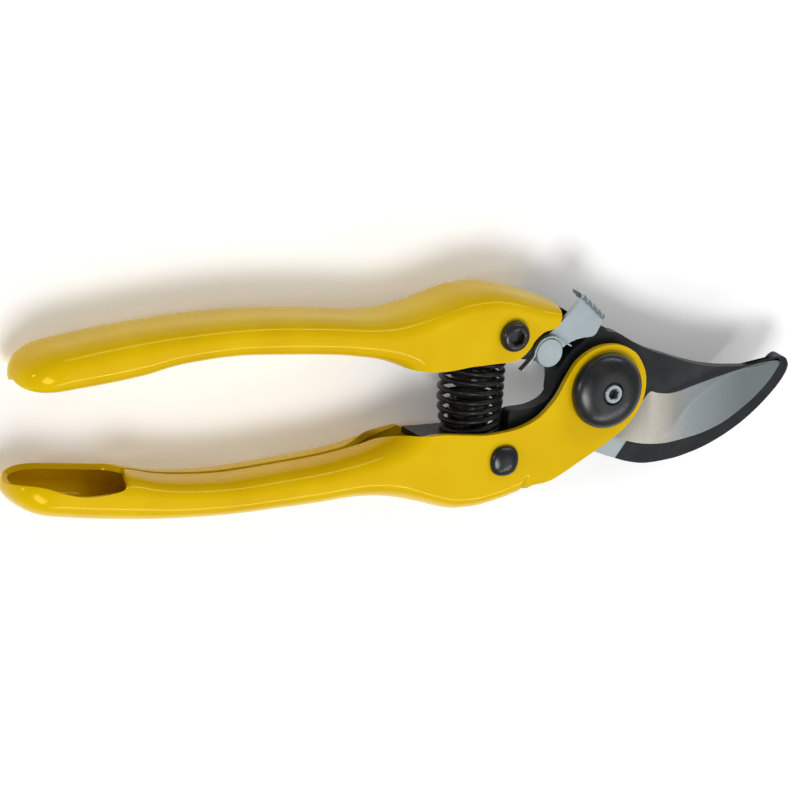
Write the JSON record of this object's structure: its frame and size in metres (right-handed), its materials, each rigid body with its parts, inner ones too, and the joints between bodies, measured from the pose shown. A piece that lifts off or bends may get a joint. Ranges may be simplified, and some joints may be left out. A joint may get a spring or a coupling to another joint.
{
  "type": "pruning shears",
  "caption": "Bypass pruning shears with folded sheet handles, a ground blade passing a hooked counter blade, a coil spring and a thumb latch.",
  "frame": {"origin": "on the pivot axis, at the outer flat face of the pivot bolt's head, which is the back of the shears", "axes": "+X along the shears towards the blade tip, +Y towards the handle with the latch, +Z along the pivot towards the dome nut"},
  "size_m": [0.2, 0.049, 0.0232],
  "materials": {
    "yellow_coating": "glossy thick dip coating",
    "blade_steel": "satin ground bevel",
    "blackened_steel": "black, satin",
    "zinc_plate": "bright zinc plate",
    "spring_steel": "black, semi-gloss",
    "bush_brass": "turned"
  },
  "bodies": {
    "lower_handle": {"lower_handle_shell": "yellow_coating", "cutting_blade": "blade_steel", "pivot_bolt": "zinc_plate", "pivot_dome_nut": "blackened_steel", "pivot_bush": "bush_brass", "pivot_front_washer": "zinc_plate", "pivot_spring_washer": "zinc_plate", "pivot_back_spacer": "zinc_plate", "blade_rivet": "blackened_steel", "blade_rivet_back_spacer": "zinc_plate", "blade_rivet_front_spacer": "zinc_plate", "coil_spring": "spring_steel", "lower_spring_seat": "blackened_steel"},
    "upper_handle": {"upper_handle_shell": "yellow_coating", "counter_blade": "blackened_steel", "tang_bolt": "blackened_steel", "tang_bolt_nut": "blackened_steel", "tang_bolt_back_spacer": "zinc_plate", "tang_bolt_front_spacer": "zinc_plate", "upper_spring_seat": "blackened_steel", "latch_pin": "zinc_plate", "latch_spacer": "zinc_plate", "latch_pin_clip": "zinc_plate", "latch_spring_strip": "zinc_plate"},
    "latch": {"latch_lever": "zinc_plate"}
  },
  "joints": [
    {"name": "main_pivot", "type": "hinge", "parent": "lower_handle", "child": "upper_handle", "pos_m": [0, 0, 0.0104], "axis": [0, 0, -1], "range_deg": [0, 24], "deforming": ["coil_spring"]},
    {"name": "latch_pivot", "type": "hinge", "parent": "upper_handle", "child": "latch", "pos_m": [-0.0152, 0.0097, 0.0165], "axis": [0, 0, 1], "range_deg": [0, 12]}
  ]
}
